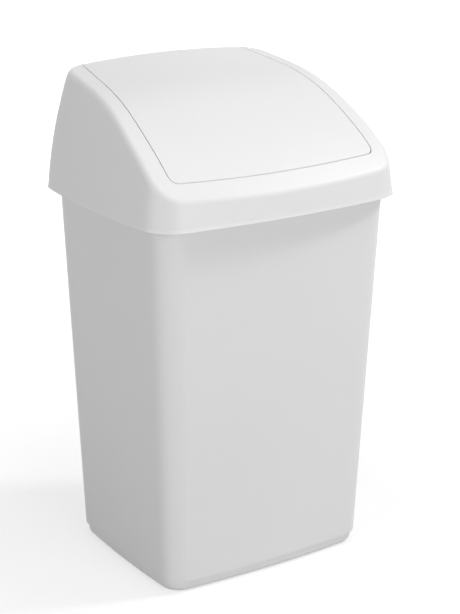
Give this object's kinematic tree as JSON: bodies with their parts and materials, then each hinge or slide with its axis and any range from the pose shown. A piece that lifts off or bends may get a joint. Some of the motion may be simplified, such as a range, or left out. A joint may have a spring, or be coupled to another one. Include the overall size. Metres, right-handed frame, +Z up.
{
  "type": "swing-lid trash can",
  "caption": "Tall tapered rectangular bin with an overhanging dome hood and an arched flap that swings inwards on side pins.",
  "frame": {"origin": "middle of the footprint, on the ground", "axes": "+Z up, -Y the front where the flap's low edge is, +X to the right when the front is looked at"},
  "size_m": [0.398, 0.3323, 0.671],
  "materials": {
    "bucket_plastic": "satin",
    "hood_plastic": "satin",
    "flap_plastic": "satin"
  },
  "bodies": {
    "bucket": {"bin_body": "bucket_plastic"},
    "hood": {"hood": "hood_plastic"},
    "flap": {"swing_flap": "flap_plastic"}
  },
  "joints": [
    {"name": "hood_lift", "type": "slide", "parent": "bucket", "child": "hood", "axis": [0, 0, 1], "range_m": [0, 0.06]},
    {"name": "flap_swing", "type": "hinge", "parent": "hood", "child": "flap", "pos_m": [0, -0.009, 0.628], "axis": [1, 0, 0], "range_deg": [0, 75]}
  ]
}
